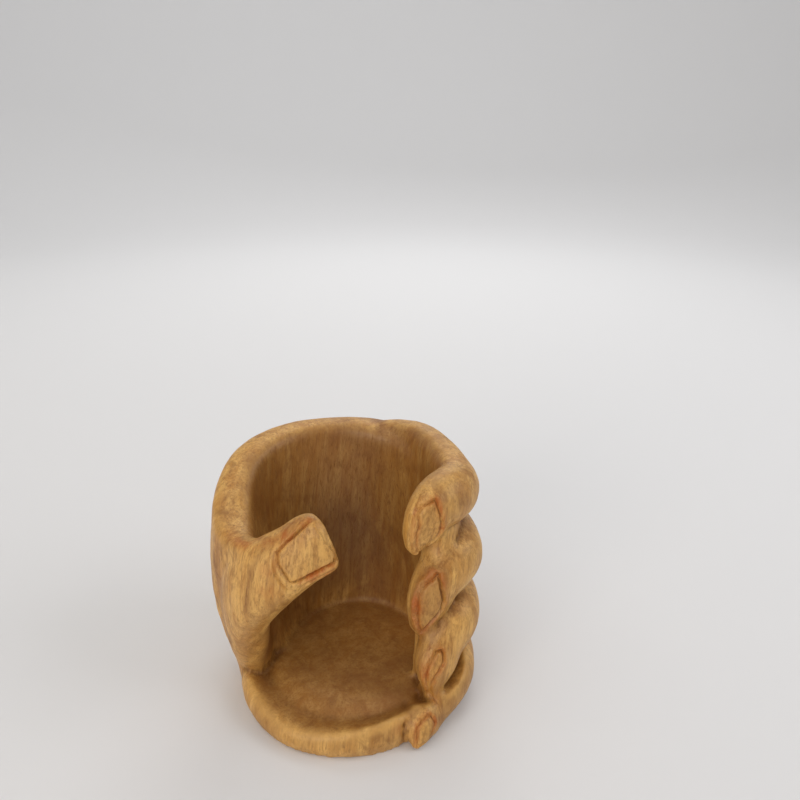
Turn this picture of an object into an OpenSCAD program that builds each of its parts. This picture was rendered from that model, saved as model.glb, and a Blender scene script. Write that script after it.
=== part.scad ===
// Bottle rack carved from one block of wood as a left hand that grips a
// standing wine bottle. The hand stands on the side of its little finger.
// The bottle's axis is the Z axis and Z = 0 is the table.

/* [Bottle] */
// Diameter of the bottle that stands in the grip
bottle_d = 74; // [60:0.5:90]
// Play between the glass and the hand
grip_gap = 0.8; // [0.3:0.1:3]

/* [Floor] */
// Height of the floor that the bottle stands on
seat_h = 16; // [12:0.5:26]
// How far the floor stands out past the grip at the front
lip_w = 28; // [18:0.5:36]
// Rise of the floor's rim beside the little finger
lip_rise = 3; // [0:0.5:6]
// Fall of the floor's rim at the heel of the hand
heel_fall = 4; // [0:0.5:8]

/* [Palm] */
// Height of the palm's rim over the table, at the back
palm_h = 132; // [115:1:160]
// Thickness of the palm's wall at its foot, at the back
palm_t = 22; // [18:0.5:28]
// Widening of the grip at the rim, behind the thumb
flare = 16; // [4:0.5:22]
// Bulge of the ball of the thumb over the heel
ball_bulge = 12; // [4:0.5:16]
// How far the rim dips to the web beside the thumb
web_dip = 36; // [20:1:50]

/* [Fingers] */
// Height from one finger to the next
finger_pitch = 34; // [28:0.5:38]
// Height of the little finger's middle over the floor
little_rise = 2; // [0:0.5:6]
// Width of a finger
finger_w = 31.5; // [26:0.5:36]
// Thickness of a finger
finger_d = 23; // [16:0.5:28]

/* [Nails] */
// Radius of the gouge that cut the folds round the fingers' nails
gouge_r = 1.2; // [0.8:0.1:2]
// Roll of the fingers' nails toward the front
nail_roll = 28; // [0:1:40]
// Width of the thumb's nail as a share of the thumb
thumb_nail = 0.66; // [0.5:0.02:0.8]
// Radius of the gouge that cut the fold round the thumb's nail
thumb_gouge_r = 1.5; // [0.8:0.1:2.5]

/* [Thumb] */
// Width of the thumb at its nail
thumb_w = 31; // [24:0.5:36]
// Thickness of the thumb at its nail
thumb_d = 19; // [15:0.5:28]
// Height of the middle of the thumb's tip over the table
thumb_h = 113; // [90:1:130]

/* [Hidden] */

bottle_r = bottle_d / 2;
grip_r = bottle_r + grip_gap;
little_h = seat_h + little_rise;
// How far the foot runs on below the table before it is cut level
root = 3;

// Place at turn a around the bottle. Turns run from the front, a = 0, by the
// thumb's side, a = 90, and the back, a = 180, to the fingers, a = 270.
function place(a, r, z) = [-r * sin(a), -r * cos(a), z];

function unit(v) = v / max(norm(v), 1e-9);
function mean(points) = [for (i = [0 : 2]) let (s = [for (p = points) p[i]]) s * [for (v = s) 1] / len(s)];

// Point at share t of the span after row i on a smooth curve through rows
function curve_at(rows, i, t) =
    let (
        last = len(rows) - 1,
        p0 = rows[max(i - 1, 0)],
        p1 = rows[i],
        p2 = rows[min(i + 1, last)],
        p3 = rows[min(i + 2, last)]
    )
    (2 * p1 + (p2 - p0) * t + (2 * p0 - 5 * p1 + 4 * p2 - p3) * t * t
        + (3 * p1 - p0 - 3 * p2 + p3) * t * t * t) / 2;

function curve(rows, steps) = [
    for (i = [0 : len(rows) - 2], k = [0 : steps - 1]) curve_at(rows, i, k / steps),
    rows[len(rows) - 1]
];

// Row at turn a on a smooth curve through rows that begin with their turns
function row_at(rows, a, i = 0) =
    a <= rows[0][0] ? rows[0]
    : i >= len(rows) - 1 ? rows[len(rows) - 1]
    : a > rows[i + 1][0] ? row_at(rows, a, i + 1)
    : curve_at(rows, i, (a - rows[i][0]) / (rows[i + 1][0] - rows[i][0]));

// Closed skin over a list of rings that all have the same number of points
module skin(rings) {
    n = len(rings[0]);
    m = len(rings);
    points = [for (ring = rings) each ring, mean(rings[0]), mean(rings[m - 1])];
    sides = [
        for (i = [0 : m - 2], j = [0 : n - 1])
            let (k = (j + 1) % n, a = i * n + j, b = i * n + k)
            each [[a, a + n, b + n], [a, b + n, b]]
    ];
    caps = [
        for (j = [0 : n - 1])
            let (k = (j + 1) % n, top = (m - 1) * n)
            each [[j, k, m * n], [top + k, top + j, m * n + 1]]
    ];
    polyhedron(points, concat(sides, caps), convexity = 8);
}

// A limb follows rows of [turn, distance from the grip, height, width,
// thickness, roll, lift]. Roll turns the section toward the front of the rack,
// and lift moves it off its path, away from the bottle.
function spot(row) = place(row[0], grip_r + row[1], row[2]);

// Point at angle t on the skin of a limb where it runs from row p to row q.
// At t = 90 it faces away from the bottle. The inner half is the wider one.
// A low value of full makes the outer half boxy, and 1 makes it an ellipse.
function skin_point(row, p, q, full, t) =
    let (
        along = unit(spot(q) - spot(p)),
        out = place(row[0], 1, 0),
        flat_up = unit(out - along * (out * along)),
        flat_across = cross(flat_up, along),
        up = flat_up * cos(row[5]) - flat_across * sin(row[5]),
        across = flat_across * cos(row[5]) + flat_up * sin(row[5]),
        c = cos(t),
        s = sin(t),
        e = s > 0 ? full : 0.75,
        egg = 1 - 0.12 * s
    )
    spot(row) + across * sign(c) * pow(abs(c), e) * egg * row[3] / 2
        + up * (row[6] + sign(s) * pow(abs(s), e) * row[4] / 2);

module limb(rows, full, steps = 3, sides = 18) {
    path = curve(rows, steps);
    last = len(path) - 1;
    skin([
        for (i = [0 : last])
            [
                for (k = [0 : sides - 1])
                    skin_point(path[i], path[max(i - 1, 0)], path[min(i + 1, last)], full, 360 * k / sides)
            ]
    ]);
}

// Point on a limb's skin at place [row number, angle], and the fold that a
// gouge cuts along such places
function on_limb(rows, full, n) =
    let (i = floor(n[0]), t = n[0] - i)
    skin_point(curve_at(rows, i, t), curve_at(rows, i, t - 0.05), curve_at(rows, i, t + 0.05), full, n[1]);

module fold(rows, full, places, r) {
    for (k = [1 : len(places) - 1])
        hull() {
            translate(on_limb(rows, full, places[k - 1])) sphere(r = r, $fn = 8);
            translate(on_limb(rows, full, places[k])) sphere(r = r, $fn = 8);
        }
}

// Fingers from the little one up: size, then the places of the middle joint,
// the end joint, the nail and the tip as [turn, distance from the grip, fall],
// then how far the nail is turned up round the finger
fingers = [
    [0.88, [299, 21.5, 0], [319, 19.5, 7], [333, 28, 12.5], [336, 30.5, 16], 0],
    [0.96, [292, 20.5, 0], [306, 17.5, 9], [317.5, 19.5, 28.5], [317.5, 19, 37.5], 24],
    [1.02, [287, 19, 0], [304, 13, 8], [313, 9, 33], [312, 8.5, 39], 24],
    [0.96, [279, 16, 0], [305, 10.5, -1], [317, 6.5, 18], [316, 6, 24], 12]
];

function at_joint(j, h, w, d, roll = 0) = [j[0], j[1], h - j[2], w, d, roll, 0];

// Rows of a finger from its root in the palm to its tip
function finger_rows(f, h) =
    let (
        w = finger_w * f[0],
        d = finger_d * f[0],
        bend = f[1],
        end = f[2],
        tip = f[4]
    )
    [
        at_joint([180, 17.5, 4], h, w * 0.75, d * 0.5),
        at_joint([197, 18, 2], h, w * 0.9, d * 0.75),
        at_joint([217, 18.5, 1], h, w * 1.04, d),
        at_joint([242, 13.5, 0], h, w * 1.1, d * 0.96),
        at_joint(bend - [15, 2.5, 0], h, w, d * 0.98),
        at_joint(bend, h, w * 0.93, d),
        at_joint((bend + end) / 2 + [0, 0.5, -1], h, w * 0.95, d * 0.97, nail_roll * 0.3),
        at_joint(end, h, w * 0.86, d * 0.88, nail_roll * 0.8),
        at_joint((end + tip) / 2 + [2, 0, -4], h, w * 0.75, d * 0.68, nail_roll),
        at_joint(f[3], h, w * 0.45, d * 0.42, nail_roll),
        at_joint(tip, h, w * 0.12, d * 0.15, nail_roll)
    ];

// Outline of a finger's nail from its point to the tip: [row number, half the
// angle that it takes up of the finger]
finger_nail = [[6.9, 0], [7.4, 30], [8.1, 48], [8.9, 52], [9.6, 40]];

// Hollow that runs from the floor up on to the inner side of the little finger
module scoop() {
    translate(place(318, grip_r + 12, seat_h + 30)) sphere(r = 30, $fn = 64);
}

module finger(i) {
    rows = finger_rows(fingers[i], little_h + finger_pitch * i);
    difference() {
        limb(rows, 0.9);
        for (s = [-1, 1])
            fold(rows, 0.9, [for (n = finger_nail) [n[0], 90 + fingers[i][5] + s * n[1]]], gouge_r);
        if (i == 0) scoop();
    }
}

// Wood left between the floor and the underside of the ring finger's tip
module web() {
    ring_h = little_h + finger_pitch;
    places = [
        [300, 8, seat_h], [316, 13, seat_h], [316.5, 15.5, ring_h - 31],
        [311, 15, ring_h - 16], [300, 12, ring_h - 10]
    ];
    hull()
        for (p = places) translate(place(p[0], grip_r + p[1], p[2])) sphere(d = finger_d * 0.3, $fn = 24);
}

// Rows of the thumb from its root in the heel, up the ball and on to its tip
thumb_rows = [
    [90, 15.5, thumb_h - 118, thumb_w * 0.95, thumb_d * 1.05, -35, 0],
    [85, 18.5, thumb_h - 92, thumb_w * 0.95, thumb_d * 1.05, -17, 0],
    [72.5, 23, thumb_h - 67, thumb_w, thumb_d * 1.15, 0, 0],
    [64, 24.5, thumb_h - 44, thumb_w * 1.15, thumb_d * 1.15, 0, 0],
    [55, 22.5, thumb_h - 28, thumb_w * 1.22, thumb_d * 1.15, 0, 0],
    [44, 18, thumb_h - 17, thumb_w * 1.1, thumb_d * 1.05, 0, 0],
    [34, 12.5, thumb_h - 9, thumb_w, thumb_d, 0, 0],
    [26, 9.5, thumb_h - 3.5, thumb_w, thumb_d * 0.92, 0, 0],
    [20, 9.2, thumb_h - 0.5, thumb_w * 0.96, thumb_d * 0.82, 0, 0],
    [16.5, 8.8, thumb_h + 1, thumb_w * 0.86, thumb_d * 0.6, 0, 0],
    [15, 8, thumb_h + 1.5, thumb_w * 0.6, thumb_d * 0.3, 0, 0]
];

module thumb() {
    half = 90 - acos(thumb_nail);
    root_fold = [for (k = [-3 : 3]) [6.1 - 0.36 * cos(k * 30), 90 + k * half / 3]];
    difference() {
        limb(thumb_rows, 0.7);
        for (s = [-1, 1])
            fold(thumb_rows, 0.7, [for (n = [6.1, 6.6, 7.2, 8, 9.4]) [n, 90 + s * half]], thumb_gouge_r);
        fold(thumb_rows, 0.7, root_fold, thumb_gouge_r);
    }
}

// Where the palm's wall ends inside the thumb, as [height, turn]
palm_edge = [
    [thumb_h - 113, 83.5],
    [thumb_h - 92, 80],
    [thumb_h - 67, 70],
    [thumb_h - 44, 61],
    [thumb_h - 28, 53],
    [thumb_h - 10, 46]
];

// Palm round the back of the bottle, by turn: the wall's thickness at the foot
// as a share of palm_t, the bulge above it as a share of ball_bulge, how far
// the rim and the foot of the wall's inner side stand off the glass as shares
// of flare, and the dip of the rim as a share of web_dip
palm_rows = [
    [60, 1.2, 0.67, 0.9, 0.9, 0.6],
    [75, 1.2, 0.95, 0.9, 0.7, 0.7],
    [90, 1.22, 1.04, 0.95, 0.15, 0.46],
    [115, 1.28, 0.97, 1.02, 0.06, 0.14],
    [140, 1.3, 0.67, 0.87, 0.06, 0.03],
    [165, 1.13, 0.4, 0.65, 0.06, 0],
    [190, 1.05, 0.42, 0.43, 0.06, 0.01],
    [215, 1.05, 0.4, 0.26, 0.06, 0.08],
    [240, 0.88, 0.15, 0.16, 0.06, 0.21],
    [265, 0.85, 0, 0.14, 0.06, 0.35],
    [285, 0.85, 0, 0.14, 0.06, 0.5],
    [300, 0.82, 0, 0.14, 0.06, 0.62],
    [308, 0.66, 0, 0.14, 0.06, 1.1],
    [314, 0.5, 0, 0.14, 0.06, 2.2]
];
palm_start = 60;
palm_full = 84;
palm_stop = 314;

// Point on the wall, drawn out from palm_full to the wall's slanting end
function on_palm(a, r, z) =
    let (s = min((a - palm_start) / (palm_full - palm_start), 1))
    place(s * (s < 1 ? palm_full : a) + (1 - s) * row_at(palm_edge, z)[1], r, z);

function palm_ring(a, full) =
    let (
        row = row_at(palm_rows, a),
        foot_r = grip_r + palm_t * row[1],
        bulge = ball_bulge * row[2],
        mouth_r = grip_r + flare * row[3],
        heel_r = grip_r + flare * row[4],
        top_r = foot_r + bulge * sin(130),
        mid = (top_r + mouth_r) / 2,
        half = (top_r - mouth_r) / 2,
        wall_h = palm_h - web_dip * row[5] - half * 0.9,
        outer = [for (k = [1 : 5]) let (t = k / 6) [foot_r + bulge * sin(130 * t), t * wall_h]],
        rim = [
            for (k = [0 : 8])
                let (c = cos(180 * k / 8), s = sin(180 * k / 8))
                [mid + half * sign(c) * pow(abs(c), 0.75), wall_h + half * 0.9 * pow(s, 0.75)]
        ],
        inner = [
            for (k = [1 : 6])
                let (t = k / 6)
                [mouth_r + (heel_r - mouth_r) * pow(t, 1.4), (1 - t) * wall_h + t * seat_h * 0.8]
        ],
        profile = concat([[foot_r, -root]], outer, rim, inner, [[heel_r, -root]])
    )
    [for (p = profile) on_palm(a, mid + (p[0] - mid) * full, p[1])];

module palm() {
    skin([
        for (s = [0, 0.08, 0.2, 0.36, 0.56, 0.78])
            palm_ring(palm_start + (palm_full - palm_start) * s, max(pow(sin(90 * s), 0.7), 0.05)),
        for (a = [palm_full : 6 : palm_stop]) palm_ring(a, 1)
    ]);
}

// Floor under the bottle, with the heel of the hand as its edge, by turn: how
// far its edge stands out past the grip, and the height of the edge
floor_rows = [
    [0, lip_w, seat_h],
    [20, lip_w + 1, seat_h - heel_fall * 0.75],
    [35, lip_w + 1.8, seat_h - heel_fall],
    [60, lip_w + 1, seat_h - 1],
    [80, lip_w - 0.5, seat_h + 1],
    [180, palm_t * 0.9, seat_h + 1],
    [270, palm_t * 0.5, seat_h + 1],
    [300, lip_w - 7, seat_h],
    [322, lip_w - 4.5, seat_h + lip_rise * 0.3],
    [336, lip_w - 2.5, seat_h + lip_rise],
    [345, lip_w - 1.5, seat_h + lip_rise * 0.8],
    [360, lip_w, seat_h]
];

module floor_pad() {
    shape = [[-0.6, 0.14], [0.6, 0.42], [0, 0.7], [-1, 0.88], [-3, 1]];
    dish = 14;
    rows = [for (a = [360 : -6 : 6]) row_at(floor_rows, a)];
    skin([
        [for (w = rows) place(w[0], grip_r + w[1] - 2, -root)],
        for (s = shape) [for (w = rows) place(w[0], grip_r + w[1] + s[0], w[2] * s[1])],
        [for (w = rows) place(w[0], grip_r + dish, w[2] * 0.4 + seat_h * 0.57)],
        [for (w = rows) place(w[0], grip_r, seat_h)]
    ]);
}

// Cleft between the floor's edge and the tip of the little finger
module cleft() {
    hull() {
        for (r = [lip_w - 6, lip_w + 6], z = [-root, 2 * seat_h])
            translate(place(339, grip_r + r, z)) sphere(r = 0.6, $fn = 8);
        for (a = [336.5, 341.5])
            translate(place(a, grip_r + lip_w + 6, seat_h)) sphere(r = 0.6, $fn = 8);
    }
}

module bottle_space() {
    translate([0, 0, -root]) cylinder(h = 2 * palm_h, r = grip_r, $fn = 72);
}

module below_table() {
    size = 4 * palm_h;
    translate([-size / 2, -size / 2, -size]) cube(size);
}

module hand() {
    color("burlywood")
    difference() {
        union() {
            difference() {
                floor_pad();
                scoop();
                cleft();
            }
            difference() {
                union() {
                    palm();
                    thumb();
                    for (i = [0 : 3]) finger(i);
                    web();
                }
                bottle_space();
            }
        }
        below_table();
    }
}

hand();
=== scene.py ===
# Bottle rack: a cupped left hand carved from one block of hardwood, oiled.
# Distances in the code are in millimetres unless a line says otherwise.
import math
import time

import bpy
import bmesh
import numpy as np
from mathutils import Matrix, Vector, noise


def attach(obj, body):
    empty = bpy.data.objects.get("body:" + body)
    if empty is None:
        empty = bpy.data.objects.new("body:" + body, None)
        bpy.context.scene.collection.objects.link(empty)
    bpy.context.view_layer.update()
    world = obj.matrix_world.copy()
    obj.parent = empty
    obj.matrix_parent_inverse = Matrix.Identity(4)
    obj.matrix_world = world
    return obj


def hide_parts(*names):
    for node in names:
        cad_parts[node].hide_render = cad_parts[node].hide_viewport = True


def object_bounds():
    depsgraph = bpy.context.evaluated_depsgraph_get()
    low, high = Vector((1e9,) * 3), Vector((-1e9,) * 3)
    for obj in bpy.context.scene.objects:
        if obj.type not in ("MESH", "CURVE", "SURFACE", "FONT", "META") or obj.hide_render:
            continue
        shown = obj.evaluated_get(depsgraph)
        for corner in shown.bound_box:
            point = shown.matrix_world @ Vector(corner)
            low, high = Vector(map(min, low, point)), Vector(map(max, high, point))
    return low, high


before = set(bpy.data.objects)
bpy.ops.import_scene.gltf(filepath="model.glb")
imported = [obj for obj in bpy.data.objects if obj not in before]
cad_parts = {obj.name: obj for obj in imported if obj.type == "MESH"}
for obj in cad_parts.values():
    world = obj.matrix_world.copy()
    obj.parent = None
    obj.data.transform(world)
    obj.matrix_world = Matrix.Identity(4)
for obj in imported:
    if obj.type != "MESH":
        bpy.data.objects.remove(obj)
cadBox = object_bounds()
bpy.ops.object.select_all(action='DESELECT')
scene = bpy.context.scene
started = time.time()
mm = 0.001


def report(text):
    print(f"[{time.time() - started:5.1f} s] {text}")


# camera and light
cameraSettings = {
    "place": (0.0, -0.3271278, 0.2958874),     # metres
    "turn": (68.3332, -0.4234, -3.9361),       # degrees
    "lens": 31.87,
    "sensor": 36.0,
}

bpy.ops.object.camera_add(location=cameraSettings["place"],
                          rotation=[math.radians(t) for t in cameraSettings["turn"]])
camera = bpy.context.object
camera.name = "photoView"
camera.data.lens = cameraSettings["lens"]
camera.data.sensor_width = cameraSettings["sensor"]
camera.data.clip_start = 0.01
scene.camera = camera


def hexColour(code):
    # sRGB hex to the linear colour that the nodes take
    parts = [int(code[i:i + 2], 16) / 255 for i in (1, 3, 5)]
    return tuple(p / 12.92 if p <= 0.04045 else ((p + 0.055) / 1.055) ** 2.4 for p in parts) + (1.0,)


def addNode(tree, kind, inputs=None, **settings):
    # inputs: {socket name or number: value, or the output socket to link}
    node = tree.nodes.new(kind)
    for name, value in settings.items():
        setattr(node, name, value)
    for name, value in (inputs or {}).items():
        if isinstance(value, bpy.types.NodeSocket):
            tree.links.new(value, node.inputs[name])
        else:
            node.inputs[name].default_value = value
    return node


studioSettings = {
    "floorRadius": 1.6,          # metres, flat part of the floor
    "wallRadius": 3.2,
    "wallHeight": 3.0,
    "bendSteps": 12,
    "roundSteps": 96,
    "floorColour": "#dededf",
    "lamps": [
        # name, place, place it points at, size, watts, colour
        ("softboxAbove", (-0.5, -0.2, 1.5), (0, 0, 0.06), 1.4, 5.8, "#fffaf3"),
        ("softboxFront", (-0.9, -1.4, 0.55), (0, 0, 0.06), 1.1, 12, "#fff6ec"),
        ("softboxRight", (1.2, -0.3, 0.9), (0, 0, 0.06), 0.9, 6.5, "#f8f8fb"),
        ("softboxBack", (0.3, 1.3, 1.2), (0, 0, 0.06), 1.2, 6, "#ffffff"),
        ("softboxWall", (0.0, 1.0, 1.9), (0, 3.0, 0.5), 1.4, 15, "#ffffff"),
    ],
    "skyColour": "#f2f1ef",
    "skyStrength": 0.47,
}


def makeStudio(spec):
    # a floor that curves up into a round wall, so that no horizon shows
    low, high = spec["floorRadius"], spec["wallRadius"]
    bend = high - low
    profile = [(0.0, 0.0), (low, 0.0)]
    for k in range(1, spec["bendSteps"] + 1):
        t = math.radians(90 * k / spec["bendSteps"])
        profile.append((low + bend * math.sin(t), bend * (1 - math.cos(t))))
    profile.append((high, spec["wallHeight"]))
    bpy.ops.mesh.primitive_plane_add(size=0.1)
    floor = bpy.context.object
    floor.name = "studioFloor"
    bm = bmesh.new()
    points = [bm.verts.new((x, 0.0, z)) for x, z in profile]
    edges = [bm.edges.new(pair) for pair in zip(points[:-1], points[1:])]
    bmesh.ops.spin(bm, geom=points + edges, cent=(0, 0, 0), axis=(0, 0, 1),
                   angle=2 * math.pi, steps=spec["roundSteps"])
    bmesh.ops.remove_doubles(bm, verts=bm.verts, dist=1e-4)
    bmesh.ops.recalc_face_normals(bm, faces=bm.faces)
    if bm.faces[0].normal.z < 0:
        bmesh.ops.reverse_faces(bm, faces=bm.faces)
    bm.to_mesh(floor.data)
    bm.free()
    for face in floor.data.polygons:
        face.use_smooth = True
    paper = bpy.data.materials.new("matte studio paper")
    paper.use_nodes = True
    shader = paper.node_tree.nodes["Principled BSDF"]
    shader.inputs["Base Color"].default_value = hexColour(spec["floorColour"])
    shader.inputs["Roughness"].default_value = 0.85
    floor.data.materials.append(paper)
    for name, place, aim, size, watts, colour in spec["lamps"]:
        bpy.ops.object.light_add(type='AREA', location=place)
        lamp = bpy.context.object
        lamp.name = name
        lamp.data.energy = watts
        lamp.data.size = size
        lamp.data.color = hexColour(colour)[:3]
        direction = Vector(aim) - Vector(place)
        lamp.rotation_euler = direction.to_track_quat('-Z', 'Y').to_euler()
    world = bpy.data.worlds.new("paleSky")
    scene.world = world
    world.use_nodes = True
    background = world.node_tree.nodes["Background"]
    background.inputs["Color"].default_value = hexColour(spec["skyColour"])
    background.inputs["Strength"].default_value = spec["skyStrength"]


makeStudio(studioSettings)
report("camera, floor and lights are set")

# the carved hand
handSettings = {
    "gripRadius": 37.8,
    "gripClear": 0.4,           # the grip's wall may come this much nearer to the bottle
    "footWidth": 4,             # the foot of the grip's wall, which stays as it is
    "footHeight": 30,
    "floorTop": 24,             # all of the floor lies below this
    "voxel": 1.35,              # mesh size of the first, rough skin
    "polish": 14,               # rounds of smoothing that take the flats off
    "edgeKeep": 0.85,           # share of the smoothing that sharp edges are spared
    "blendRounds": 60,          # rounds for the places to blend and to fill
    "creaseRounds": (5, 3),     # how broad the creases are that are cut in again
    "creaseGain": 1.3,          # how much deeper
    # distance to the nails and cuts within which the mesh is halved, and whether
    # that takes in the whole nail
    "refine": ((2.8, True), (1.2, False)),
    "gougeSize": 9.0,           # width of the gouge marks left on the skin
    "gougeDepth": 0.16,
    "floorDish": 2.0,           # how far the floor's front is hollowed more
    "dishReach": 53,            # where it is deepest, and how wide it is
    "dishWidth": 6,
    "dishTurn": 10,             # the way that it faces
    # nails: the outline by (turn round the bottle in degrees, height, cut), with
    # turn 0 at the front and 90 on the thumb's side. A cut above 0 is a groove with
    # a raised fold beside it, below 0 is a free edge.
    "nails": {
        "index": {
            "reach": 49, "groove": 1.0, "step": 0.5, "rim": 0.6, "rimWidth": 2.4, "flat": 0.42,
            "line": [(312.4, 128.6, 1), (315.1, 127.6, 1), (318.3, 126.1, 0.9), (320.3, 124.2, 0.7),
                     (321.9, 121.5, 0.8), (322.0, 117.0, 1), (323.0, 112.0, 1), (322.9, 105.5, 0.8),
                     (320.2, 99.0, 0.5), (314.0, 98.0, 0.6), (312.7, 102.9, 0.8), (310.8, 107.4, 0.9),
                     (310.4, 111.5, 1), (311.6, 118.0, 1), (312.4, 123.9, 1)]},
        "middle": {
            "reach": 52, "groove": 1.1, "step": 0.55, "rim": 0.7, "rimWidth": 2.6, "flat": 0.42,
            "line": [(311.9, 87.8, 1.2), (314.0, 86.1, 1.2), (315.7, 84.3, 1.1), (318.2, 81.6, 0.9),
                     (320.0, 78.5, 0.7), (321.4, 74.7, 0.9), (322.0, 69.7, 1.2), (322.0, 63.4, 1.1),
                     (320.8, 57.4, 0.7), (318.4, 52.0, 0.5), (316.5, 57.2, 0.7), (313.4, 61.9, 0.9),
                     (311.2, 66.4, 0.8), (310.9, 71.6, 1.2), (312.2, 79.5, 1.2), (312.3, 84.8, 1.2)]},
        "ring": {
            "reach": 58, "groove": 1.0, "step": 0.5, "rim": 0.6, "rimWidth": 2.2, "flat": 0.42,
            "line": [(314.7, 46.0, 1.2), (317.3, 45.0, 1.2), (319.0, 42.4, 1.1), (320.3, 40.0, 0.9),
                     (322.0, 37.3, 1), (323.2, 32.9, 1), (323.4, 26.6, 0.7), (320.6, 17.5, 0.4),
                     (321.7, 26.9, 0.6), (319.6, 31.6, 0.8), (317.1, 35.6, 0.9), (315.1, 38.9, 1),
                     (314.5, 42.5, 1.2), (314.4, 44.5, 1.2)]},
        "little": {
            "reach": 68, "groove": 0.8, "step": 0.35, "rim": 0.4, "rimWidth": 1.8, "flat": 0.2,
            "line": [(326.7, 16.9, 1), (329.3, 16.9, 1), (332.1, 15.5, 1), (334.0, 13.8, 1),
                     (334.9, 10.9, 1), (335.2, 7.2, 0.9), (335.3, 3.7, 0.6), (331.4, 4.0, 0),
                     (329.6, 8.4, 0), (326.5, 10.5, 0.5), (325.2, 11.8, 1), (325.6, 14.2, 1)]},
        "thumb": {
            "reach": 56, "groove": 1.2, "step": 0.5, "rim": 0.6, "rimWidth": 3.0, "flat": 0.25,
            "line": [(20.1, 122.4, -0.5), (23.2, 125.4, 0.3), (24.9, 125.0, 0.7), (27.4, 122.8, 1),
                     (31.2, 118.6, 1), (34.1, 115.6, 0.9), (35.3, 114.0, 0.7), (37.7, 110.1, 0.8),
                     (36.9, 107.8, 0.6), (36.2, 104.7, 0.8), (34.0, 101.8, 0.7), (31.6, 98.8, 0.8),
                     (30.3, 96.3, 0.7), (27.7, 96.9, 1), (25.6, 97.8, 1.2), (22.5, 99.6, 1.3),
                     (19.1, 101.3, 1.3), (15.2, 103.6, 1.3), (10.4, 105.4, 1.1), (11.8, 110.9, -1),
                     (13.1, 112.6, -1.2), (15.4, 115.9, -1.2), (17.5, 119.3, -1)]},
    },
    # places as (turn, reach, height, radius), reach being from the bottle's axis
    "blended": [(309, 50, 97, 9), (305, 52, 101, 9)],
    "filled": [(303, 63, 37, 10), (309, 62, 30, 11), (313, 59, 21, 9), (304, 58, 114, 6)],
    "dabs": [(341.7, 64, 14.5, 3.5), (40.1, 64, 100.7, 4.5), (39.1, 66, 92.3, 3.5), (36, 55, 117, 3.5),
             (14.3, 52, 100.8, 3), (30.6, 60, 100.3, 2.5)],
    "smudges": [(74, 73, 83, 8), (57, 72, 61, 7), (54, 62, 52, 7), (290, 53, 135, 10),
                (297, 60, 97, 9), (314, 58, 50, 8), (29, 60, 13, 7), (348, 53, 16.5, 9),
                (300, 62, 66, 8), (250, 60, 128, 12), (87, 61, 113, 12), (38, 52, 119, 5)],
    # single lines: by (turn, height, cut), or (turn, reach, cut) on level wood
    "cuts": {
        "underThumbNail": {
            "reach": 56, "depth": 0.55, "width": 0.8, "bank": 0.25,
            "line": [(25.6, 94.7, 0.3), (23.9, 96.3, 1), (21.4, 97.4, 1), (17.9, 99.0, 1),
                     (14.2, 100.8, 1), (11.4, 102.0, 0.5)]},
        "thumbFold": {
            "reach": 61, "depth": 0.75, "width": 1.0, "bank": 0.35,
            "line": [(38.5, 108.0, 0.3), (37.6, 104.0, 1), (36.0, 100.2, 1), (33.6, 96.8, 1),
                     (31.6, 94.2, 0.8), (29.2, 91.7, 0.2)]},
        "thumbSide": {
            "reach": 60, "depth": 0.35, "width": 2.2, "bank": 0.1,
            "line": [(70.2, 107.0, 0.3), (55.9, 107.5, 1), (48.4, 108.1, 1), (43.9, 111.5, 1),
                     (39.0, 114.8, 0.8), (34.3, 119.4, 0.5), (30.1, 123.0, 0.2)]},
        "indexFold": {
            "reach": 45, "depth": 0.5, "width": 0.9, "bank": 0.2,
            "line": [(320.3, 124.2, 1), (322.4, 122.0, 0.9), (323.6, 119.5, 0.7), (324.7, 116.7, 0.2)]},
        "floorRidge": {
            "reach": 65, "level": True, "depth": -0.9, "width": 1.9, "bank": 0.0,
            "line": [(41.0, 65.5, 0), (32.1, 65.5, 0.4), (20.7, 64.8, 0.6), (7.9, 64.0, 0.8),
                     (-0.5, 63.5, 1), (-9.7, 62.3, 1.2), (-17.0, 61.8, 1.4), (-20.5, 61.6, 1.2)]},
    },
}


def smoothStep(x, low, high):
    t = np.clip((x - low) / (high - low), 0.0, 1.0)
    return t * t * (3 - 2 * t)


def readPoints(mesh):
    flat = np.empty(len(mesh.vertices) * 3, np.float32)
    mesh.vertices.foreach_get("co", flat)
    return flat.reshape(-1, 3).astype(float) / mm


def writePoints(mesh, points):
    mesh.vertices.foreach_set("co", (points * mm).astype(np.float32).ravel())
    mesh.update()


def readNormals(mesh):
    flat = np.empty(len(mesh.vertices) * 3, np.float32)
    mesh.vertex_normals.foreach_get("vector", flat)
    return flat.reshape(-1, 3).astype(float)


def neighbourMean(mesh):
    # a function that gives each point's mean over the points next to it
    pairs = np.empty(len(mesh.edges) * 2, np.int32)
    mesh.edges.foreach_get("vertices", pairs)
    a, b = pairs.reshape(-1, 2).T
    count = len(mesh.vertices)
    total = np.maximum(np.bincount(a, minlength=count) + np.bincount(b, minlength=count), 1)

    def mean(values):
        columns = values.reshape(count, -1)
        out = np.empty_like(columns)
        for i in range(columns.shape[1]):
            column = columns[:, i]
            out[:, i] = (np.bincount(a, column[b], count) + np.bincount(b, column[a], count)) / total
        return out.reshape(values.shape)

    return mean


def relax(values, mean, rounds, weight=0.5):
    for _ in range(rounds):
        values = values + weight * (mean(values) - values)
    return values


def hollowness(points, normals, mean, rounds):
    # how far a point lies below the smoothed skin, less than 0 on a ridge
    return ((relax(points, mean, rounds) - points) * normals).sum(1)


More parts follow.
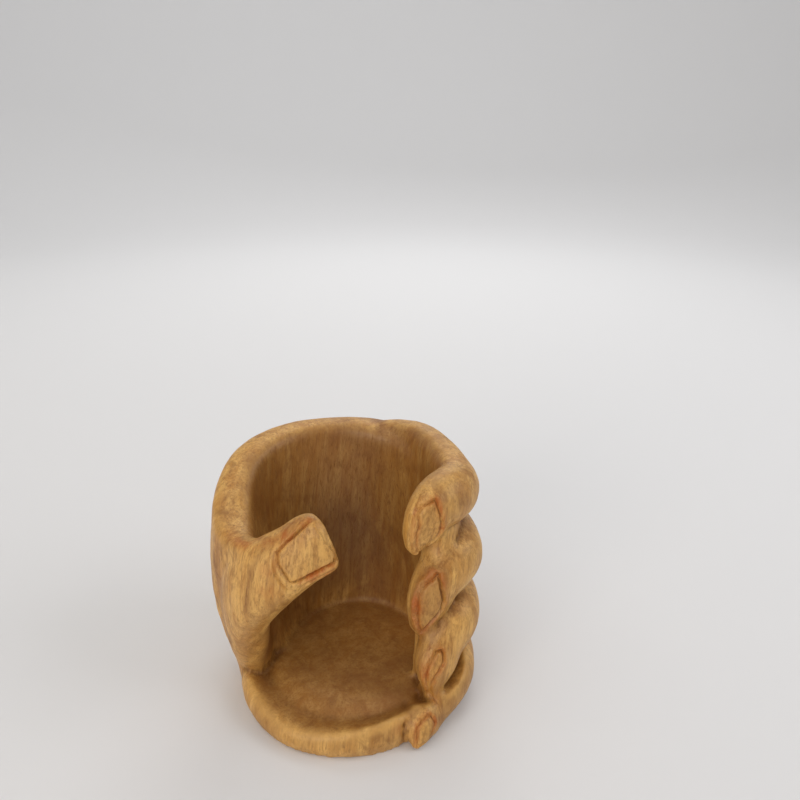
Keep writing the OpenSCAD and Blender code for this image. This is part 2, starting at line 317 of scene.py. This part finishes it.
def keepPlace(points, before, spec):
    # the foot stays on the table, and all stays in the CAD's box
    points[before[:, 2] < 0.3, 2] = 0.0
    reach = np.hypot(points[:, 0], points[:, 1])
    limit = spec["gripRadius"] - spec["gripClear"]
    wall = (np.hypot(before[:, 0], before[:, 1]) > limit) & (before[:, 2] > spec["floorTop"] + 1)
    tight = (reach < limit) & wall
    points[tight, :2] *= (limit / reach[tight])[:, None]
    low, high = (np.array(corner) / mm for corner in cadBox)
    return np.clip(points, low, high)


def gripFoot(reach, height, spec):
    # the seat, and the wall just over it
    return (reach < spec["gripRadius"] + spec["footWidth"]) & (height < spec["footHeight"])


def turnOf(points):
    # degrees round the bottle
    return np.degrees(np.arctan2(-points[:, 0], -points[:, 1])) % 360


def outwards(points, normals):
    # how far the skin faces away from the bottle
    reach = np.maximum(np.hypot(points[:, 0], points[:, 1]), 1e-6)
    return (normals[:, 0] * points[:, 0] + normals[:, 1] * points[:, 1]) / reach


farAway = 1e6       # stands for the distance of points that a line doesn't touch


def nearLine(points, normals, spec, closed):
    # each point's distance to a line on the skin, less than 0 inside a closed
    # line, the line's cut at the nearest place, and how well the skin faces it
    margin, sameReach, levelTop = 8, 18, 26
    line = np.array(spec["line"], float)
    cuts = line[:, 2]
    middle = line[:, :2].mean(0)
    scale = np.array([math.radians(1) * spec["reach"], 1.0])
    corners = (line[:, :2] - middle) * scale
    reach = np.hypot(points[:, 0], points[:, 1])
    turn = (turnOf(points) - middle[0] + 180) % 360 - 180
    if spec.get("level"):
        flat = np.stack([turn, reach - middle[1]], 1) * scale
        facing = smoothStep(normals[:, 2], 0.0, 0.4) * (points[:, 2] < levelTop)
    else:
        flat = np.stack([turn, points[:, 2] - middle[1]], 1) * scale
        facing = smoothStep(outwards(points, normals), -0.1, 0.25)
        facing = facing * (np.abs(reach - spec["reach"]) < sameReach)
    near = ((flat > corners.min(0) - margin) & (flat < corners.max(0) + margin)).all(1) & (facing > 0)
    here = flat[near]
    best = np.full(len(here), farAway)
    cut = np.zeros(len(here))
    crossings = np.zeros(len(here), int)
    for i in range(len(corners) if closed else len(corners) - 1):
        k = (i + 1) % len(corners)
        a, b = corners[i], corners[k]
        side = b - a
        t = np.clip(((here - a) @ side) / (side @ side), 0, 1)
        gap = np.hypot(*(here - a - t[:, None] * side).T)
        closer = gap < best
        best[closer] = gap[closer]
        cut[closer] = (cuts[i] + t * (cuts[k] - cuts[i]))[closer]
        above = (here[:, 1] > a[1]) != (here[:, 1] > b[1])
        level = b[1] - a[1] if b[1] != a[1] else 1e-9
        crossings += above & (here[:, 0] < a[0] + (here[:, 1] - a[1]) * side[0] / level)
    if closed:
        best[crossings % 2 == 1] *= -1
    distance = np.full(len(points), farAway)
    distance[near] = best
    cutHere = np.zeros(len(points))
    cutHere[near] = cut
    return distance, cutHere, facing


def nearPlaces(points, places):
    # 1 at any of the places, fading to 0 over its radius
    best = np.zeros(len(points))
    for turn, reach, height, radius in places:
        angle = math.radians(turn)
        middle = np.array([-reach * math.sin(angle), -reach * math.cos(angle), height])
        best = np.maximum(best, np.exp(-((points - middle) ** 2).sum(1) / radius ** 2))
    return best


def refineNear(hand, spec, width, wholeNail):
    # halve the mesh's edges near the lines, and even the new points out
    lines = [(nail, True) for nail in spec["nails"].values()]
    lines += [(cut, False) for cut in spec["cuts"].values() if not cut.get("level")]
    points, normals = readPoints(hand.data), readNormals(hand.data)
    chosen = np.zeros(len(points), bool)
    for line, closed in lines:
        distance = nearLine(points, normals, line, closed)[0]
        inward = farAway if closed and wholeNail else width
        chosen |= (distance > -inward) & (distance < width)
    bm = bmesh.new()
    bm.from_mesh(hand.data)
    edges = [e for e in bm.edges if chosen[e.verts[0].index] and chosen[e.verts[1].index]]
    bmesh.ops.subdivide_edges(bm, edges=edges, cuts=1, use_grid_fill=True)
    bmesh.ops.triangulate(bm, faces=[f for f in bm.faces if len(f.verts) > 4])
    bm.to_mesh(hand.data)
    bm.free()
    hand.data.update()
    points, normals = readPoints(hand.data), readNormals(hand.data)
    near = np.zeros(len(points), bool)
    for line, closed in lines:
        near |= nearLine(points, normals, line, closed)[0] < width + 1
    points[near] = relax(points, neighbourMean(hand.data), 3)[near]
    writePoints(hand.data, points)


def noiseAt(points, size, seed):
    # smooth noise from -1 to 1 that changes over the given size
    shift = Vector((seed * 17.3, seed * 5.1, seed * 9.7))
    return np.array([noise.noise(Vector(p) / size + shift) for p in points])


def copyOfNode(name):
    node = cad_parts[name]
    piece = node.copy()
    piece.data = node.data.copy()
    piece.parent = None
    scene.collection.objects.link(piece)
    bpy.ops.object.select_all(action='DESELECT')
    piece.select_set(True)
    bpy.context.view_layer.objects.active = piece
    bpy.ops.object.mode_set(mode='EDIT')
    bpy.ops.mesh.select_all(action='SELECT')
    bpy.ops.mesh.remove_doubles(threshold=1e-6)
    bpy.ops.object.mode_set(mode='OBJECT')
    piece.data.materials.clear()
    return piece


def roughSkin(spec):
    hand = copyOfNode("hand")
    hand.name = hand.data.name = "carvedHand"
    skin = hand.modifiers.new("roughSkin", 'REMESH')
    skin.mode = 'VOXEL'
    skin.voxel_size = spec["voxel"] * mm
    bpy.ops.object.modifier_apply(modifier=skin.name)
    report(f"rough skin: {len(hand.data.polygons)} faces")
    return hand


def polish(mesh, spec):
    # fill the roughed-out folds of the nails, which are cut finely further down
    before = readPoints(mesh)
    mean = neighbourMean(mesh)
    normals = readNormals(mesh)
    nailZone = np.zeros(len(before))
    for nail in spec["nails"].values():
        distance, _, facing = nearLine(before, normals, nail, True)
        nailZone = np.maximum(nailZone, (1 - smoothStep(distance, 2.5, 4.5)) * facing)
    points = before.copy()
    for _ in range(8):
        rise = np.maximum(hollowness(points, normals, mean, 6), 0) * nailZone
        points = points + normals * rise[:, None]

    # take the flats off: smooth, then give back the broad shape that this lost
    hollow = relax(hollowness(points, normals, mean, 4), mean, 2)
    reach = np.hypot(points[:, 0], points[:, 1])
    inFoot = gripFoot(reach, points[:, 2], spec)
    floorRim = (points[:, 2] < spec["floorTop"]) & (reach > 55)
    sharp = smoothStep(hollow, 0.06, 0.22) * ~inFoot
    sharp = np.maximum(sharp, smoothStep(-hollow, 0.12, 0.3) * floorRim)
    sharp = np.maximum(sharp, smoothStep(-hollow, 0.3, 0.6))
    weight = 0.5 * (1 - spec["edgeKeep"] * sharp)[:, None]
    smooth = relax(points, mean, spec["polish"], weight)
    smooth = smooth + relax(points - smooth, mean, spec["polish"], weight)
    writePoints(mesh, keepPlace(smooth, before, spec))

    # the wall's end between the two upper fingers runs over into them
    points = readPoints(mesh)
    blend = smoothStep(nearPlaces(points, spec["blended"]), 0.3, 0.6)[:, None]
    writePoints(mesh, relax(points, mean, spec["blendRounds"], 0.5 * blend))

    # the hollow between the ring finger and the little finger is shallow
    points = readPoints(mesh)
    fill = 0.8 * smoothStep(nearPlaces(points, spec["filled"]), 0.2, 0.6)
    for _ in range(spec["blendRounds"]):
        normals = readNormals(mesh)
        rise = np.maximum(((mean(points) - points) * normals).sum(1), 0)
        points = points + normals * (rise * fill)[:, None]
        writePoints(mesh, points)

    # cut the valleys between the fingers in again
    for rounds in spec["creaseRounds"]:
        points, normals = readPoints(mesh), readNormals(mesh)
        hollow = relax(hollowness(points, normals, mean, rounds), mean, 2)
        depth = np.clip(hollow - 0.04, 0, 0.8) * spec["creaseGain"] * ~inFoot * (1 - nailZone)
        writePoints(mesh, keepPlace(points - normals * depth[:, None], points, spec))
    report("flats are polished off")


def nailShape(points, normals, nail, wobble):
    # how far the skin moves out for a nail, with the fold's and the plate's share
    distance, cut, facing = nearLine(points, normals, nail, True)
    used = np.abs(distance) < farAway / 2
    distance = distance + 0.25 * wobble
    groove, free = np.maximum(cut, 0), np.maximum(-cut, 0)
    out, inn = np.maximum(distance, 0), np.maximum(-distance, 0)
    rim = smoothStep(distance, 0.0, 0.7) * np.exp(-(out / nail["rimWidth"]) ** 2)
    shape = groove * nail["rim"] * rim
    shape -= groove * nail["groove"] * np.clip(1 - np.abs(distance + 0.25) / 0.9, 0, 1)
    shape -= groove * nail["step"] * smoothStep(inn, 0.0, 0.3) * np.exp(-inn / 2.5)
    shape -= free * 0.8 * smoothStep(distance, -0.1, 0.5) * np.exp(-(out / 2.5) ** 2)
    shape += free * 0.15 * np.exp(-(distance / 0.8) ** 2)
    # the nail is flatter than the finger: pare off what stands above its outline
    inside = used & (distance < -0.3) & (facing > 0.5)
    border = used & (np.abs(distance) < 0.8) & (facing > 0.5)
    centre = points[border].mean(0)
    up = normals[inside].mean(0)
    up /= np.linalg.norm(up)
    height = np.maximum((points - centre) @ up, 0)
    shape -= nail["flat"] * height * smoothStep(inn, 0.0, 2.5)
    fold = groove * np.exp(-(distance / 1.4) ** 2)
    return [np.where(used, part * facing, 0.0) for part in (shape, fold, smoothStep(inn, 0.0, 0.8))]


def carve(mesh, spec):
    points, normals = readPoints(mesh), readNormals(mesh)
    wobble = noiseAt(points, 3.0, 3) + 0.6 * noiseAt(points, 1.3, 4)
    lift, edge, plate = np.zeros((3, len(points)))
    for nail in spec["nails"].values():
        shape, fold, within = nailShape(points, normals, nail, wobble)
        lift += shape
        edge = np.maximum(edge, fold)
        plate = np.maximum(plate, within)
    for line in spec["cuts"].values():
        distance, cut, facing = nearLine(points, normals, line, False)
        across = (distance + 0.2 * wobble) / line["width"]
        if line.get("level"):
            shape = -line["depth"] * np.exp(-across ** 2)
        else:
            shape = -line["depth"] * np.clip(1 - np.abs(across), 0, 1)
            shape += line["bank"] * np.exp(-((across - 1.6) / 0.8) ** 2)
            edge = np.maximum(edge, 0.8 * cut * np.exp(-across ** 2) * facing)
        lift += shape * cut * facing

    # the floor's front is dished a little more, and gouge marks cover the rest
    reach = np.hypot(points[:, 0], points[:, 1])
    level = smoothStep(normals[:, 2], 0.6, 0.95) * (points[:, 2] < spec["floorTop"])
    seat = level * (1 - smoothStep(reach, spec["gripRadius"], spec["gripRadius"] + 1.5))
    front = smoothStep(np.cos(np.radians(turnOf(points) - spec["dishTurn"])), 0.2, 0.6)
    dish = np.exp(-((reach - spec["dishReach"]) / spec["dishWidth"]) ** 2)
    lift -= spec["floorDish"] * level * front * dish
    marks = noiseAt(points, spec["gougeSize"], 1) + 0.4 * noiseAt(points, spec["gougeSize"] / 3, 2)
    lift += spec["gougeDepth"] * marks * (1 - seat) * smoothStep(points[:, 2], 0.5, 3.0)
    carved = keepPlace(points + normals * lift[:, None], points, spec)
    writePoints(mesh, carved)
    report("nails, folds and gouge marks are carved")

    # where oiling and dust stay in the cuts, with painted shade in the cuts and hollows,
    # painted shade on the grip's inward side and the dished floor, and where handling has worn the wood
    # pale
    mean = neighbourMean(mesh)
    normals = readNormals(mesh)
    fine = hollowness(carved, normals, mean, 8)
    broad = hollowness(carved, normals, mean, 60)
    # painted shade: the fine cuts and the broad valleys are darkened as if shaded, and the cuts also
    # hold oiling
    hollow = smoothStep(fine, 0.04, 0.35) * 0.8 + smoothStep(broad, 0.3, 2.0) * 0.6
    hollow = np.clip(hollow, 0, 1) * (1 - 0.7 * gripFoot(reach, carved[:, 2], spec))
    ridge = np.clip(smoothStep(-fine, 0.05, 0.4) * 0.7 + smoothStep(-broad, 0.4, 1.8) * 0.6, 0, 1)
    # painted shade on the side of the grip that faces the bottle
    innerShade = smoothStep(-outwards(carved, normals), 0.1, 0.8)
    values = {
        "hollow": relax(hollow, mean, 2),
        "ridge": relax(ridge, mean, 2),
        "inside": relax(innerShade * smoothStep(carved[:, 2], 15, 30), mean, 10),
        # painted shade on the dished floor
        "dishShade": relax(level * (1 - smoothStep(reach, 58, 64)), mean, 6),
        "nailEdge": np.maximum(edge, nearPlaces(carved, spec["dabs"])),
        "smudge": nearPlaces(carved, spec["smudges"]),
        "nailPlate": plate,
    }
    for name, value in values.items():
        layer = mesh.attributes.new(name, 'FLOAT', 'POINT')
        layer.data.foreach_set("value", value.astype(np.float32))


def makeHand(spec):
    hand = roughSkin(spec)
    polish(hand.data, spec)
    for width, wholeNail in spec["refine"]:
        refineNear(hand, spec, width, wholeNail)
    report(f"finer round the nails: {len(hand.data.polygons)} faces")
    carve(hand.data, spec)
    for face in hand.data.polygons:
        face.use_smooth = True
    return hand


hand = makeHand(handSettings)

# the wood
woodSettings = {
    "pale": "#d8a85c",           # worn, dry wood
    "honey": "#b68038",          # the oiled body colour
    "brown": "#7c4c19",          # darker growth and stain
    "oilAndShadeTone": "#663e18",           # oiling and dust in the cuts, with painted shade in the cuts and hollows
    "orange": "#ad5c18",         # stain that ran out round the nails
    "nail": "#cb994f",           # the nails' plates, a lighter tone
    "dishShade": "#85541d",           # painted shade on the dished floor round the bottle's foot
    "inside": "#744616",         # painted shade on the grip's inward side, which faces the bottle
    "grainLength": 55.0,         # mm, length of a streak along the block
    "grainWidth": 6.0,           # mm, across it
    "poreLength": 6.0,
    "poreWidth": 0.6,            # real pores are 0.2 mm; drawn as coarse as they need to show
    "tilt": (8.0, -6.0, 20.0),   # degrees, the block's grain against the table
    "cloud": (26.0, 40.0),       # mm across and along the block: broad darker growth,
    "mottle": (10.0, 20.0),      # patches of stain,
    "line": (1.2, 40.0),         # growth lines
    "fleck": (1.5, 3.4),         # and flecks
    "bump": 0.35,                # mm, height of flecks and pores
}


def carvedHardwood(spec):
    # Carved hardwood, hand-oiled and rubbed: satin, with brown streaks along the
    # grain, open pores, dark oiling and painted shade in the cuts, painted shade on the
    # grip's inward side and the dished floor, and pale worn ridges.
    material = bpy.data.materials.new("carved hardwood, hand-oiled")
    material.use_nodes = True
    tree = material.node_tree
    shader = tree.nodes["Principled BSDF"]
    shader.inputs["IOR"].default_value = 1.5
    shader.inputs["Coat Weight"].default_value = 0.06
    shader.inputs["Coat Roughness"].default_value = 0.35
    place = addNode(tree, 'ShaderNodeTexCoord').outputs["Object"]
    turn = [math.radians(t) for t in spec["tilt"]]
    turned = addNode(tree, 'ShaderNodeMapping', {"Vector": place, "Rotation": turn}).outputs[0]

    def grain(width, length, detail, roughness=0.6, distortion=0.0):
        # noise drawn out along the block, its sizes in mm
        scale = (1 / (width * mm), 1 / (width * mm), 1 / (length * mm))
        vector = addNode(tree, 'ShaderNodeMapping', {"Vector": turned, "Scale": scale}).outputs[0]
        return addNode(tree, 'ShaderNodeTexNoise', {
            "Vector": vector, "Scale": 1.0, "Detail": detail, "Roughness": roughness,
            "Distortion": distortion}).outputs[0]

    def read(name):
        return addNode(tree, 'ShaderNodeAttribute', attribute_name=name).outputs["Fac"]

    def ranged(value, low, high, toLow=0.0, toHigh=1.0):
        return addNode(tree, 'ShaderNodeMapRange',
                       {0: value, 1: low, 2: high, 3: toLow, 4: toHigh}).outputs[0]

    def maths(operation, first, second):
        return addNode(tree, 'ShaderNodeMath', {0: first, 1: second}, operation=operation).outputs[0]

    streaks = grain(spec["grainWidth"], spec["grainLength"], 5.0, 0.6, 0.6)
    cloud = grain(*spec["cloud"], 3.0, 0.5, 0.8)
    mottle = grain(*spec["mottle"], 5.0, 0.65, 0.8)
    line = grain(*spec["line"], 3.0)
    fleck = grain(*spec["fleck"], 5.0)
    pores = ranged(grain(spec["poreWidth"], spec["poreLength"], 2.0), 0.6, 0.72)

    # darker oiling in the cuts, with painted shade in the cuts and hollows
    oilAndShade = maths('MULTIPLY', read("hollow"), ranged(fleck, 0.3, 0.6, 0.6, 0.95))
    onNail = read("nailPlate")
    # tone, where it lies and how strongly, each over the ones before it
    stains = [
        ("pale", ranged(streaks, 0.38, 0.62), 1.0),
        ("brown", ranged(cloud, 0.47, 0.63), 0.5),
        ("brown", ranged(mottle, 0.51, 0.66), 0.55),
        ("brown", ranged(line, 0.5, 0.65), 0.42),
        ("brown", maths('MULTIPLY', read("smudge"), ranged(mottle, 0.35, 0.6)), 0.6),
        ("brown", ranged(fleck, 0.52, 0.68), 0.38),
        ("brown", pores, 0.5),
        ("nail", onNail, 0.3),
        ("brown", maths('MULTIPLY', onNail, ranged(fleck, 0.45, 0.6)), 0.35),
        # painted shade on the dished floor
        ("dishShade", read("dishShade"), 0.6),
        ("pale", read("ridge"), 0.55),
        # painted shade on the grip's inward side
        ("inside", read("inside"), 0.6),
        ("orange", maths('MULTIPLY', read("nailEdge"), ranged(mottle, 0.38, 0.6)), 0.85),
        # painted shade and oiling in the cuts and hollows
        ("oilAndShadeTone", oilAndShade, 0.9),
    ]
    colour = hexColour(spec["honey"])
    for tone, mask, strength in stains:
        amount = maths('MULTIPLY', mask, strength)
        colour = addNode(tree, 'ShaderNodeMix', {0: amount, 6: colour, 7: hexColour(spec[tone])},
                         data_type='RGBA').outputs[2]
    tree.links.new(colour, shader.inputs["Base Color"])
    tree.links.new(ranged(oilAndShade, 0.0, 1.0, 0.45, 0.1), shader.inputs["Specular IOR Level"])

    rough = maths('ADD', ranged(mottle, 0.3, 0.7, 0.42, 0.56), maths('MULTIPLY', pores, 0.15))
    tree.links.new(rough, shader.inputs["Roughness"])

    height = maths('SUBTRACT', maths('MULTIPLY', fleck, 0.5), maths('MULTIPLY', pores, 0.6))
    bump = addNode(tree, 'ShaderNodeBump', {
        "Strength": 0.8, "Distance": spec["bump"] * mm, "Height": height})
    tree.links.new(bump.outputs[0], shader.inputs["Normal"])
    return material


hand.data.materials.append(carvedHardwood(woodSettings))
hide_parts("hand")
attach(hand, "root")
report("wood is on")

scene.view_settings.view_transform = 'Standard'

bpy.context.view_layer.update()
report("sizes written")
